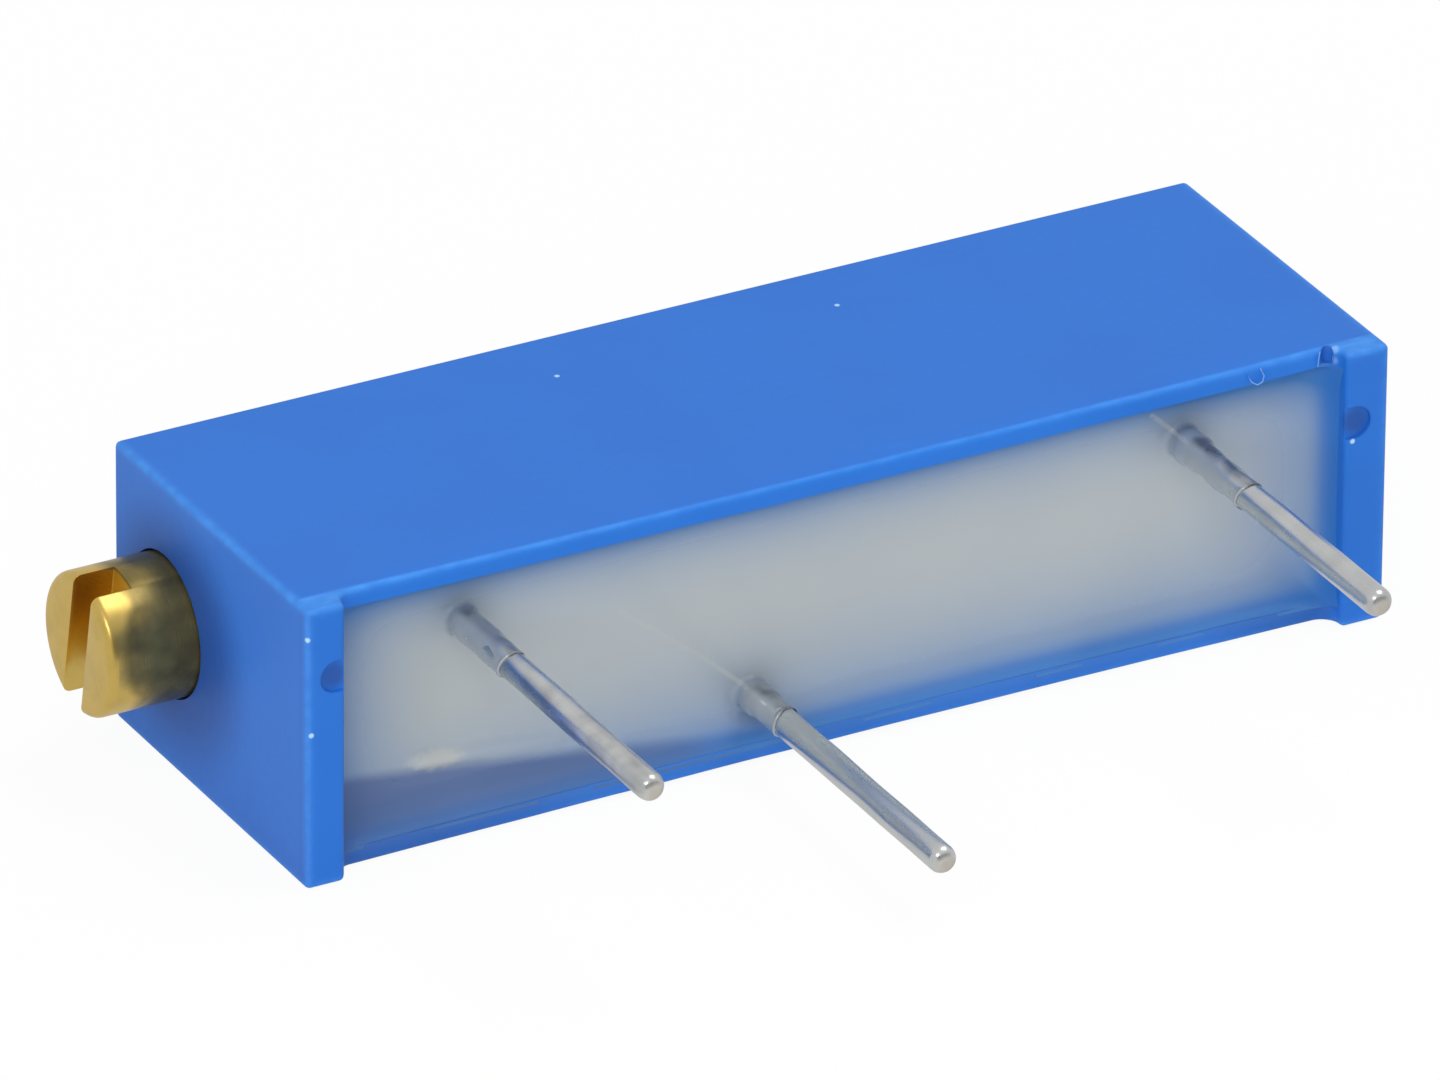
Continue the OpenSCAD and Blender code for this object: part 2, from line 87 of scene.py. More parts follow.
class Signal:  # one socket in a node tree, which can be used in sums
    def __init__(self, tree, socket=None):
        self.tree = tree
        self.socket = socket

    def node(self, kind, settings=None, values=None, out=0):
        made = self.tree.nodes.new(kind)
        for name, value in (settings or {}).items():
            setattr(made, name, value)
        for key, value in (values or {}).items():
            if isinstance(value, Signal):
                self.tree.links.new(value.socket, made.inputs[key])
            else:
                made.inputs[key].default_value = value
        return Signal(self.tree, made.outputs[out] if made.outputs else None)

    def sums(self, operation, first, second=0.0):
        return self.node("ShaderNodeMath", {"operation": operation}, {0: first, 1: second})

    def __add__(self, other):
        return self.sums("ADD", self, other)

    def __radd__(self, other):
        return self.sums("ADD", other, self)

    def __sub__(self, other):
        return self.sums("SUBTRACT", self, other)

    def __rsub__(self, other):
        return self.sums("SUBTRACT", other, self)

    def __mul__(self, other):
        return self.sums("MULTIPLY", self, other)

    def __rmul__(self, other):
        return self.sums("MULTIPLY", other, self)

    def __truediv__(self, other):
        return self.sums("DIVIDE", self, other)

    def __rtruediv__(self, other):
        return self.sums("DIVIDE", other, self)

    def larger(self, other):
        return self.sums("MAXIMUM", self, other)

    def smaller(self, other):
        return self.sums("MINIMUM", self, other)

    def root(self):
        return self.sums("SQRT", self)

    def fade(self, start, end, low=0.0, high=1.0):  # smooth step from low to high
        return self.node("ShaderNodeMapRange", {"interpolation_type": "SMOOTHSTEP"},
                         {"Value": self, "From Min": start, "From Max": end,
                          "To Min": low, "To Max": high})

    def falloff(self, reach, power=1.0):  # 1 where the distance is 0, sinking as it grows
        share = self.larger(0.0) / reach
        return self.sums("EXPONENT", self.sums("POWER", share, power) * -1.0)

    def mix(self, colourA, colourB):  # this signal is how much of colourB shows
        return self.node("ShaderNodeMix", {"data_type": "RGBA"},
                         {0: self, 6: asColour(colourA), 7: asColour(colourB)}, out=2)


def asColour(value):
    return value if isinstance(value, Signal) else (*value, 1.0)


def largest(signals):  # the highest of several signals at each place
    top, *others = signals
    for other in others:
        top = top.larger(other)
    return top


def startMaterial(name):  # the place that it gives is in millimetres
    finish = bpy.data.materials.new(name)
    finish.use_nodes = True
    finish.node_tree.nodes.clear()
    paint = Signal(finish.node_tree)
    place = paint.node("ShaderNodeTexCoord", out=3)
    scaled = paint.node("ShaderNodeVectorMath", {"operation": "SCALE"}, {0: place, "Scale": 1000.0})
    return finish, paint, scaled


def axesOf(paint, place):
    parts = paint.node("ShaderNodeSeparateXYZ", None, {0: place}).socket.node
    return [Signal(paint.tree, parts.outputs[i]) for i in range(3)]


def vectorSum(paint, operation, first, second):
    return paint.node("ShaderNodeVectorMath", {"operation": operation}, {0: first, 1: second})


def distanceTo(paint, place, point):
    return paint.node("ShaderNodeVectorMath", {"operation": "DISTANCE"}, {0: place, 1: point}, out=1)


def grain(paint, place, scale, detail=2.0, stretch=(1.0, 1.0, 1.0)):
    spread = vectorSum(paint, "MULTIPLY", place, stretch)
    return paint.node("ShaderNodeTexNoise", None, {"Vector": spread, "Scale": scale, "Detail": detail})


def bump(paint, height, strength, distance=0.00001):
    return paint.node("ShaderNodeBump", None,
                      {"Strength": strength, "Distance": distance, "Height": height})


def closeMaterial(finish, paint, values):
    surface = paint.node("ShaderNodeBsdfPrincipled", None, values)
    paint.node("ShaderNodeOutputMaterial", None, {"Surface": surface})
    return finish


deselectAll()
bpy.ops.object.camera_add(location=cameraLook["place"],
                          rotation=[radians(angle) for angle in cameraLook["turn"]])
camera = bpy.context.object
camera.data.lens = cameraLook["lens"]
camera.data.clip_start = 0.01
camera.data.clip_end = 20
bpy.context.scene.camera = camera
bpy.context.scene.view_settings.view_transform = "Standard"


def rayKinds(paint):  # 1 for rays from the camera or through glass, and 1 for those off metal or gloss
    rays = paint.node("ShaderNodeLightPath").socket.node
    direct, glossy, through = (
        Signal(paint.tree, rays.outputs[name])
        for name in ("Is Camera Ray", "Is Glossy Ray", "Is Transmission Ray"))
    return direct.larger(through), glossy


world = bpy.data.worlds.new("studio")
bpy.context.scene.world = world
world.use_nodes = True
world.node_tree.nodes.clear()
sky = Signal(world.node_tree)
seen, mirrored = rayKinds(sky)
level = lightLook["worldLevel"]
skyLevel = level + seen * (1.0 - level) + mirrored * (lightLook["mirrorLevel"] - level)
skyGlow = sky.node("ShaderNodeBackground", None, {"Color": (1, 1, 1, 1), "Strength": skyLevel})
sky.node("ShaderNodeOutputWorld", None, {"Surface": skyGlow})


for name, look in lamps.items():
    deselectAll()
    turn = Vector(look["place"]).to_track_quat("Z", "Y").to_euler()
    bpy.ops.object.light_add(type="AREA", location=look["place"], rotation=turn)
    lamp = bpy.context.object
    lamp.name = name
    lamp.data.size = look["size"]
    lamp.data.energy = look["power"]
    setattr(lamp, "visible_" + look["unseenBy"], False)


def addPlane(name, place, size, turn):
    deselectAll()
    bpy.ops.mesh.primitive_plane_add(size=1, location=place, rotation=(radians(turn), 0, 0))
    plane = bpy.context.object
    plane.name = name
    plane.scale = (*size, 1)
    return plane


floor = addPlane("paleFloor", (0, 0, -lightLook["floorDrop"]), (3, 3), 0)
floorFinish, floorPaint, _ = startMaterial("paleFloor")
matt = floorPaint.node("ShaderNodeBsdfDiffuse", None, {"Color": lightLook["floorColour"]})
seen, mirrored = rayKinds(floorPaint)
glow = floorPaint.node("ShaderNodeEmission", None, {
    "Color": (1, 1, 1, 1), "Strength": 1.0 - mirrored * (1.0 - lightLook["mirrorLevel"])})
floorMix = floorPaint.node("ShaderNodeMixShader", None, {
    0: seen.larger(mirrored) * lightLook["floorDirect"], 1: matt, 2: glow})
floorPaint.node("ShaderNodeOutputMaterial", None, {"Surface": floorMix})
floor.data.materials.append(floorFinish)

card = addPlane("frontCard", cardLook["place"], cardLook["size"], cardLook["turn"])
card.visible_camera = card.visible_diffuse = card.visible_shadow = False
cardFinish, cardPaint, _ = startMaterial("frontCard")
shine = cardPaint.node("ShaderNodeEmission", None, {"Color": cardLook["shade"], "Strength": 1.0})
cardPaint.node("ShaderNodeOutputMaterial", None, {"Surface": shine})
card.data.materials.append(cardFinish)
print("camera, light and background are set")

# Each pin's sleeve of epoxy has a length, a swelling near its root and a height up to which it is pale.
# Places are taken from the frame, in millimetres.
pins = [
    {"node": "terminal_pin_1", "name": "wirePinA", "dull": 1.2,
     "sleeve": 1.75, "swelling": 0.010, "paleUpTo": 0.16},
    {"node": "terminal_pin_2", "name": "wirePinB", "dull": 0.3,
     "sleeve": 1.20, "swelling": 0.025, "paleUpTo": 0.24},
    {"node": "terminal_pin_3", "name": "wirePinC", "dull": 0.6,
     "sleeve": 2.20, "swelling": 0.050, "paleUpTo": 0.50},
]
for pin in pins:
    low, high = (corner * 1000 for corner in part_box(pin["node"]))
    pin["x"] = (low.x + high.x) / 2
    pin["z"] = (low.z + high.z) / 2
    pin["tip"] = low.y
    pin["stub"] = high.y
bodyLow, bodyHigh = (corner * 1000 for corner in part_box("housing"))
castLow, castHigh = (corner * 1000 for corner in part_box("epoxy_fill"))
stripLow, stripHigh = (corner * 1000 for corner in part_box("ceramic_strip"))
screwLow, screwHigh = (corner * 1000 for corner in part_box("adjusting_screw"))
screwAxis = (screwLow + screwHigh) / 2
screwHead = (screwHigh.z - screwLow.z) / 2


def nearestPin(x, z):
    return min(pins, key=lambda pin: hypot(x - pin["x"], z - pin["z"]))


def smooth(share):
    share = min(1.0, max(0.0, share))
    return share * share * (3 - 2 * share)


def tracePath(name, points):  # a chain of edges through the points
    deselectAll()
    bpy.ops.mesh.primitive_plane_add(size=0.02, location=points[0])
    piece = bpy.context.object
    piece.name = name
    bpy.ops.object.transform_apply(location=True, rotation=True, scale=True)
    bpy.ops.object.mode_set(mode="EDIT")
    bpy.ops.mesh.select_mode(type="VERT")
    bpy.ops.mesh.select_all(action="SELECT")
    bpy.ops.mesh.merge(type="CENTER")
    for last, point in zip(points, points[1:]):
        step = Vector(point) - Vector(last)
        bpy.ops.mesh.extrude_region_move(TRANSFORM_OT_translate={"value": step})
    return piece


def turnProfile(name, points, centre, axis, steps):  # a turned solid from half its outline
    piece = tracePath(name, points)
    bpy.ops.mesh.select_all(action="SELECT")
    bpy.ops.mesh.spin(steps=steps, angle=2 * pi, center=centre, axis=axis)
    bpy.ops.mesh.select_all(action="SELECT")
    bpy.ops.mesh.remove_doubles(threshold=0.0005)
    bpy.ops.mesh.normals_make_consistent(inside=False)
    bpy.ops.object.mode_set(mode="OBJECT")
    return piece


def applyModifier(piece, kind, settings):
    focusOn(piece)
    modifier = piece.modifiers.new(kind.lower(), kind)
    for name, value in settings.items():
        setattr(modifier, name, value)
    bpy.ops.object.modifier_apply(modifier=modifier.name)


def boxBetween(name, low, high):
    deselectAll()
    middle = (Vector(low) + Vector(high)) / 2
    bpy.ops.mesh.primitive_cube_add(size=1, location=middle)
    box = bpy.context.object
    box.name = name
    box.scale = Vector(high) - Vector(low)
    bpy.ops.object.transform_apply(location=True, rotation=True, scale=True)
    return box


def rodBetween(name, start, end, radius, steps=64):
    deselectAll()
    way = Vector(end) - Vector(start)
    bpy.ops.mesh.primitive_cylinder_add(
        vertices=steps, radius=radius, depth=way.length, location=(Vector(start) + Vector(end)) / 2,
        rotation=way.to_track_quat("Z", "Y").to_euler())
    rod = bpy.context.object
    rod.name = name
    bpy.ops.object.transform_apply(location=True, rotation=True, scale=True)
    return rod


def cutAway(piece, cutter):
    applyModifier(piece, "BOOLEAN", {"operation": "DIFFERENCE", "object": cutter, "solver": "EXACT"})
    bpy.data.objects.remove(cutter)


def finishPiece(piece, body, finish, replaced, angle=35):
    focusOn(piece)
    piece.scale = (0.001, 0.001, 0.001)
    bpy.ops.object.transform_apply(location=True, rotation=True, scale=True)
    bpy.ops.object.shade_smooth_by_angle(angle=radians(angle))
    piece.data.name = piece.name
    piece.data.materials.clear()
    piece.data.materials.append(finish)
    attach(piece, body)
    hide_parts(replaced)
    print(piece.name, "is done:", len(piece.data.polygons), "faces")
    return piece


# Blue housing
housingLook = {
    "colour": (0.017, 0.172, 0.665),
    "deeper": (0.014, 0.150, 0.610),
    # paler is the painted highlight and wear on the edges
    "paler": (0.065, 0.310, 0.870),
    # shade is the colour of the painted shade
    "shade": (0.016, 0.075, 0.330),
    "film": (0.13, 0.23, 0.38),  # thin resin on the lower rim
    "haze": (0.25, 0.24, 0.34),  # handling marks on the end and the top
    "dust": (0.42, 0.64, 0.92),
    "edge": 0.10,  # rounding of the outer edges
    "rimEdge": 0.035,  # rounding of the inner edges
    "footHeight": 0.38,  # feet beyond the edges of the long walls
    "footFillet": 0.28,
    "notchRadius": 0.28,
    "notchReach": 0.44,
    "notchDepth": 0.06,  # shallow, as the resin has run into it
    "notchZ": 3.60,
    "nick": {"place": (8.595, -2.85, 4.68), "size": (0.11, 0.12, 0.20)},
    # a burr on each side of the nick, and a curl of flash
    "strands": (((8.44, -2.84, 4.54), (8.43, -2.87, 4.66), (8.46, -2.86, 4.80)),
                ((8.73, -2.84, 4.50), (8.74, -2.88, 4.62), (8.71, -2.87, 4.79)),
                ((7.16, -2.81, 4.72), (7.24, -2.86, 4.56), (7.33, -2.88, 4.50), (7.42, -2.88, 4.53),
                 (7.46, -2.86, 4.62), (7.40, -2.83, 4.76))),
    "strandRadius": 0.012,
    "backWall": 0.5,
    "room": (-7.025, 7.325),  # space for the slider
    "bore": 1.2,
    "socket": (0.485, 8.325),  # radius and end of the hole for the screw's tail
    "forkPlay": 0.02,
    "bow": 0.055,  # how far the long walls lean in at their middle
    "leanFrom": -1.2,  # where that lean starts
    "leanCuts": (-1.8, -2.3),  # more cuts that let the walls bend
    "slices": 24,
    "wave": 0.012,
    "roughness": 0.42,
    # pale specks, by their place on the surface
    "specks": ((-2.46, 1.90, 4.83), (2.55, 1.98, 4.83), (-9.44, -3.20, 2.68), (-9.49, -3.17, 4.33),
               (8.887, -3.20, 3.28)),
    "speckRadius": 0.055,
    # how strongly each stain and each painted shade shows
    "hazeOnEnd": 0.07,
    "hazeOnTop": 0.045,
    "shadeByHead": 0.80,
    "shadeOnFeet": 0.10,
    "shadeOnRim": (0.60, 0.45),  # towards the screw's end and the far end
    "shadeInNotch": 0.85,
    "shadeInNick": 0.60,
    "filmShare": 0.26,
    "strandDust": 0.36,
}
rimY = bodyLow.y + housingLook["footHeight"]


def bluePlastic():
    look = housingLook
    finish, paint, place = startMaterial("bluePlastic")
    x, y, z = axesOf(paint, place)
    broad = grain(paint, place, 0.35, 2.0)
    fine = grain(paint, place, 6.0, 4.0)
    specks = grain(paint, place, 24.0, 2.0)
    burr = grain(paint, place, 2.6, 4.0, (1.0, 2.0, 2.0))
    colour = (broad.fade(0.3, 0.7) * 0.5).mix(look["colour"], look["deeper"])
    onEnd = (bodyLow.x + 0.12 - x).fade(0.0, 0.08) * look["hazeOnEnd"]
    onTop = (z - bodyHigh.z + 0.12).fade(0.0, 0.08) * look["hazeOnTop"]
    colour = (onEnd.larger(onTop) * (0.7 + broad * 0.6)).mix(colour, look["haze"])

    # paler along its edges: painted highlight where the rounded edges catch the light, and wear of the
    # moulding
    reach = look["edge"]
    outX = (x - bodyLow.x).smaller(bodyHigh.x - x).falloff(reach, 2.0)
    outY = (y - bodyLow.y).falloff(reach, 2.0)
    outZ = (z - bodyLow.z).smaller(bodyHigh.z - z).falloff(reach, 2.0)
    rim = (rimY + reach - y).fade(0.0, 0.08) * outZ
    edges = (outX * outZ).larger(outX * outY * 0.65).larger(outY * outZ).larger(rim)
    wornAndLit = edges * (0.50 + burr.fade(0.32, 0.70) * 0.45) + fine.fade(0.64, 0.82) * 0.08
    colour = wornAndLit.smaller(1.0).mix(colour, look["paler"])

    # painted shade: darker below the screw's head, on the feet, at the ends of the lower rim, in the
    # notches and in the nick
    belowHead = distanceTo(paint, place, (bodyLow.x, screwAxis.y - 0.45, screwAxis.z))
    byHead = belowHead.fade(screwHead, screwHead * 2.2, look["shadeByHead"], 0.0)
    paintedShade = [byHead * (bodyLow.x + 0.2 - x).fade(0.0, 0.15)]
    paintedShade.append((rimY - 0.08 - y).fade(0.0, 0.1) * look["shadeOnFeet"])
    atScrewEnd, atFarEnd = look["shadeOnRim"]
    ends = x.fade(-7.2, -3.5, atScrewEnd, 0.0).larger(x.fade(6.0, 8.6, 0.0, atFarEnd))
    onRim = (rimY + 0.12 - y).fade(0.0, 0.08) * (castLow.z + 0.1 - z).fade(0.0, 0.05)
    onRim = onRim * (x - castLow.x).smaller(castHigh.x - x).fade(-0.02, 0.10)
    paintedShade.append(ends * onRim)
    for side, reach in ((castLow.x - 0.19, 0.26), (castHigh.x + 0.19, 0.28)):
        spot = (side, bodyLow.y + look["notchDepth"], look["notchZ"])
        hollow = distanceTo(paint, place, spot)
        hollow = hollow.fade(reach * 0.35, reach * 1.35, look["shadeInNotch"], 0.0)
        paintedShade.append(hollow * (y - bodyLow.y - 0.25).fade(-0.2, 0.0, 1.0, 0.0))
    offNick = vectorSum(paint, "SUBTRACT", place, look["nick"]["place"])
    offNick = vectorSum(paint, "DIVIDE", offNick, look["nick"]["size"])
    paintedShade.append(distanceTo(paint, offNick, (0, 0, 0)).fade(0.5, 1.5, look["shadeInNick"], 0.0))
    colour = largest(paintedShade).mix(colour, look["shade"])
    film = (castLow.z - z).fade(-0.05, 0.30, look["filmShare"], 0.0) * onRim
    colour = film.mix(colour, look["film"])

    # pale specks, and pale strands where they stand out of the rim
    radius = look["speckRadius"]
    dust = [distanceTo(paint, place, spot).fade(radius * 0.5, radius, 1.0, 0.0)
            for spot in look["specks"]]
    standsOut = (rimY - look["strandRadius"] - y).fade(0.0, 0.01)
    for strand in look["strands"]:
        for spot in strand:
            near = distanceTo(paint, place, spot).fade(0.04, 0.11, look["strandDust"], 0.0)
            dust.append(near * standsOut)
    dust = largest(dust)
    colour = dust.mix(colour, look["dust"])
    rough = look["roughness"] + fine * 0.10 + broad * 0.05
    skin = bump(paint, fine * 0.6 + specks * 0.25 + edges * burr * 0.8 + dust, 0.14, 0.00002)
    return closeMaterial(finish, paint, {
        "Base Color": colour, "Roughness": rough, "Normal": skin, "IOR": 1.5,
        "Specular IOR Level": 0.25})


def footGap():  # what is cut away between the feet, with its two inner edges rounded
    look = housingLook
    gap = boxBetween("footGap", (castLow.x, bodyLow.y - 1, bodyLow.z - 1),
                     (castHigh.x, rimY, bodyHigh.z + 1))
    bpy.ops.object.mode_set(mode="EDIT")
    bpy.ops.mesh.select_mode(type="EDGE")
    bpy.ops.mesh.select_all(action="DESELECT")
    bpy.ops.object.mode_set(mode="OBJECT")
    for edge in gap.data.edges:
        first, last = (gap.data.vertices[i].co for i in edge.vertices)
        atRim = abs(first.y - rimY) < 0.01 and abs(last.y - rimY) < 0.01
        edge.select = atRim and abs(first.x - last.x) < 0.01
    bpy.ops.object.mode_set(mode="EDIT")
    bpy.ops.mesh.bevel(offset=look["footFillet"], segments=8, affect="EDGES")
    bpy.ops.object.mode_set(mode="OBJECT")
    return gap


leanHalf = (bodyHigh.x - bodyLow.x) / 2 - 0.8


def leanAt(x):  # how much of their lean the long walls have at this place along the body
    return max(0.0, 1 - (x / leanHalf) ** 2)


def bowWalls(mesh):  # the long walls lean in a little between the feet, with a slight wave
    look = housingLook
    middle = (bodyLow.z + bodyHigh.z) / 2
    for corner in mesh.vertices:
        at = corner.co
        along = leanAt(at.x)
        depth = smooth((look["leanFrom"] - at.y) / (look["leanFrom"] - rimY))
        wave = noise.noise((at.x * 0.8, 3.1, at.z)) * look["wave"]
        inward = 1 if at.z < middle else -1
        at.z += inward * along * depth * max(look["bow"] + wave, 0.0)
        if at.y < rimY + 0.12:
            at.y += along * abs(noise.noise((at.x * 1.7, 8.0, at.z * 0.5))) * look["wave"] * 1.5


def addFlash(piece, points):  # a thin strand of the moulding, joined to the housing
    strand = tracePath("strand", points)
    bpy.ops.object.mode_set(mode="OBJECT")
    focusOn(strand)
    bpy.ops.object.convert(target="CURVE")
    strand = bpy.context.object
    strand.data.bevel_depth = housingLook["strandRadius"]
    strand.data.bevel_resolution = 2
    strand.data.use_fill_caps = True
    bpy.ops.object.convert(target="MESH")
    strand = bpy.context.object
    deselectAll()
    strand.select_set(True)
    piece.select_set(True)
    bpy.context.view_layer.objects.active = piece
    bpy.ops.object.join()


def makeHousing():
    look = housingLook
    piece = boxBetween("blueHousing", bodyLow, bodyHigh)
    cutAway(piece, footGap())
    applyModifier(piece, "BEVEL", {"width": look["edge"], "segments": 4, "limit_method": "ANGLE",
                                   "angle_limit": radians(30)})
    above = bodyLow.y - 1
    cutAway(piece, boxBetween("pocket", (castLow.x, above, castLow.z),
                              (castHigh.x, stripHigh.y, castHigh.z)))
    roomStart, roomEnd = look["room"]
    cutAway(piece, boxBetween("room", (roomStart, stripLow.y, castLow.z),
                              (roomEnd, bodyHigh.y - look["backWall"], castHigh.z)))
    floor = bodyLow.y + look["notchDepth"]
    radius = look["notchRadius"]
    straight = look["notchReach"] - radius
    for face, way in ((castLow.x, -1), (castHigh.x, 1)):
        centre = face + way * straight
        cutAway(piece, rodBetween("notch", (centre, above, look["notchZ"]),
                                  (centre, floor, look["notchZ"]), radius, 32))
        inner, outer = sorted((centre, face - way * 0.2))
        cutAway(piece, boxBetween("notch", (inner, above, look["notchZ"] - radius),
                                  (outer, floor, look["notchZ"] + radius)))
    deselectAll()
    bpy.ops.mesh.primitive_uv_sphere_add(segments=24, ring_count=16, radius=1,
                                         location=look["nick"]["place"])
    dent = bpy.context.object
    dent.scale = look["nick"]["size"]
    cutAway(piece, dent)
    forkLow, forkHigh = (corner * 1000 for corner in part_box("retaining_fork"))
    play = look["forkPlay"]
    cutAway(piece, boxBetween("forkSlot", (forkLow.x - play, stripLow.y, forkLow.z - play),
                              forkHigh + Vector((play, play, play))))
    cutAway(piece, rodBetween("bore", (bodyLow.x - 1, screwAxis.y, screwAxis.z),
                              (roomStart + 0.01, screwAxis.y, screwAxis.z), look["bore"], 96))
    tailRadius, tailEnd = look["socket"]
    cutAway(piece, rodBetween("socket", (roomEnd - 0.01, screwAxis.y, screwAxis.z),
                              (tailEnd, screwAxis.y, screwAxis.z), tailRadius, 48))
    applyModifier(piece, "BEVEL", {"width": look["rimEdge"], "segments": 3, "limit_method": "ANGLE",
                                   "angle_limit": radians(55)})
    bpy.ops.object.mode_set(mode="EDIT")
    length, slices = bodyHigh.x - bodyLow.x, look["slices"]
    acrossBody = [bodyLow.x + length * cut / slices for cut in range(1, slices)]
    for axis, places in (((1, 0, 0), acrossBody), ((0, 1, 0), (look["leanFrom"], *look["leanCuts"]))):
        for place in places:
            bpy.ops.mesh.select_all(action="SELECT")
            bpy.ops.mesh.bisect(plane_co=[part * place for part in axis], plane_no=axis)
    bpy.ops.object.mode_set(mode="OBJECT")
    bowWalls(piece.data)
    for strand in look["strands"]:
        addFlash(piece, strand)
    return piece


blueHousing = finishPiece(makeHousing(), "base", bluePlastic(), "housing", 30)
applyModifier(blueHousing, "WEIGHTED_NORMAL", {"keep_sharp": True, "weight": 50})

# Epoxy
epoxyLook = {
    "surface": -2.35,  # level of the cast surface between the walls
    "cell": 0.065,
    # how far it climbs each wall, and over what reach
    "walls": {"screwEnd": (0.40, 0.16), "farEnd": (0.62, 0.24),
              "lower": (0.468, 0.26), "upper": (0.42, 0.20)},
    # how much of the blue shows near each wall, over what reach, and how fast it fades
    "blues": {"lower": (0.78, 0.75, 1.0), "upper": (1.05, 0.60, 1.1),
              "farEnd": (0.57, 1.25, 1.2), "screwEnd": (0.80, 0.95, 1.0)},
    "bluerAtFarEnd": 0.2,  # what is added along the upper wall there
    "tuck": 0.05,  # how far its edges go into the walls
    "flare": 0.10,
    "mound": 0.05,
    "moundReach": 0.22,
    "sleeveRadius": 0.262,
    "bead": 0.028,
    "hole": 0.355,
    "wobble": 0.030,
    "ripple": (0.010, 0.003),  # broad and fine unevenness of the surface
    "grey": (0.445, 0.480, 0.485),
    "warmGrey": (0.435, 0.460, 0.432),
    "slate": (0.045, 0.185, 0.470),
    # duskShade is the colour of the painted shade below the raised run
    "duskShade": (0.068, 0.122, 0.290),
    "wallTint": (0.022, 0.150, 0.500),
    "seam": (0.055, 0.200, 0.520),
    # rootShade is painted shade round the roots, sleeveShade is painted shade on the sleeves
    "rootShade": (0.14, 0.165, 0.19),
    "pale": (0.48, 0.49, 0.465),
    "sleeve": (0.37, 0.41, 0.44),
    "sleeveShade": (0.10, 0.115, 0.145),
    "ridge": {"x": -5.95, "z": 1.165, "length": 2.8, "width": 0.42, "height": 0.10, "turn": -5},
    # fine threads that were drawn out over the surface, from end to end
    "threads": (((-3.64, 3.00), (-2.23, 1.87)), ((-2.23, 1.87), (-1.42, 1.14)),
                ((5.70, 4.16), (6.12, 3.76))),
}


def alongRidge(x, z):  # place along and across the raised run, of numbers or of signals
    ridge = epoxyLook["ridge"]
    turn = radians(ridge["turn"])
    along = (x - ridge["x"]) * cos(turn) + (z - ridge["z"]) * sin(turn)
    across = (z - ridge["z"]) * cos(turn) - (x - ridge["x"]) * sin(turn)
    return along, across


def climbAt(x, z):  # rise of the cast surface where it wets walls and pins, and along the ridge
    look = epoxyLook
    lean = housingLook["bow"] * leanAt(x)
    gaps = {"screwEnd": x - castLow.x, "farEnd": castHigh.x - x, "lower": z - castLow.z - lean,
            "upper": castHigh.z - z - lean}
    rise = 0.0
    for wall, (height, reach) in look["walls"].items():
        climb = height * exp(-max(gaps[wall], 0.0) / reach)
        rise = max(rise, climb) + min(rise, climb) * 0.3
    pin = nearestPin(x, z)
    gap = hypot(x - pin["x"], z - pin["z"])
    outer = look["sleeveRadius"] + look["flare"]
    if gap < outer:
        rise += look["flare"] - sqrt(max(look["flare"] ** 2 - (outer - gap) ** 2, 0.0))
    rise += look["mound"] * exp(-max(gap - outer, 0.0) / look["moundReach"])
    ridge = look["ridge"]
    along, across = alongRidge(x, z)
    past = max(abs(along) - (ridge["length"] - ridge["width"]) / 2, 0.0)
    fullness = 1.0 + 0.25 * noise.noise((along * 2.2, 1.0, 0.0))
    off = hypot(past, across) / (ridge["width"] / 2 * fullness)
    if off < 1:
        rise += ridge["height"] * (1 - off * off) ** 1.5 * (0.65 - 0.30 * along / ridge["length"] * 2)
    broad, fine = look["ripple"]
    rise += broad * noise.noise((x * 0.55, 0.0, z * 0.8))
    return rise + fine * noise.noise((x * 2, 5.0, z * 2))


def pickBorder(mesh, test):  # selects the open edges whose two ends pass the test
    bpy.ops.object.mode_set(mode="OBJECT")
    for part in (mesh.polygons, mesh.edges, mesh.vertices):
        part.foreach_set("select", [False] * len(part))
    uses = {}
    for face in mesh.polygons:
        for key in face.edge_keys:
            uses[key] = uses.get(key, 0) + 1
    for edge in mesh.edges:
        ends = [mesh.vertices[i] for i in edge.vertices]
        if uses.get(edge.key, 0) == 1 and all(test(end.co) for end in ends):
            edge.select = ends[0].select = ends[1].select = True
    bpy.ops.object.mode_set(mode="EDIT")
    bpy.ops.mesh.select_mode(type="EDGE")


def moveRing(mesh, level):  # brings the picked rings to a radius and a height on their pins
    bpy.ops.object.mode_set(mode="OBJECT")
    for corner in mesh.vertices:
        if corner.select:
            pin = nearestPin(corner.co.x, corner.co.z)
            out = Vector((corner.co.x - pin["x"], 0, corner.co.z - pin["z"])).normalized()
            radius, rise = level(pin, out)
            corner.co = (pin["x"] + out.x * radius, epoxyLook["surface"] - rise,
                         pin["z"] + out.z * radius)
    bpy.ops.object.mode_set(mode="EDIT")


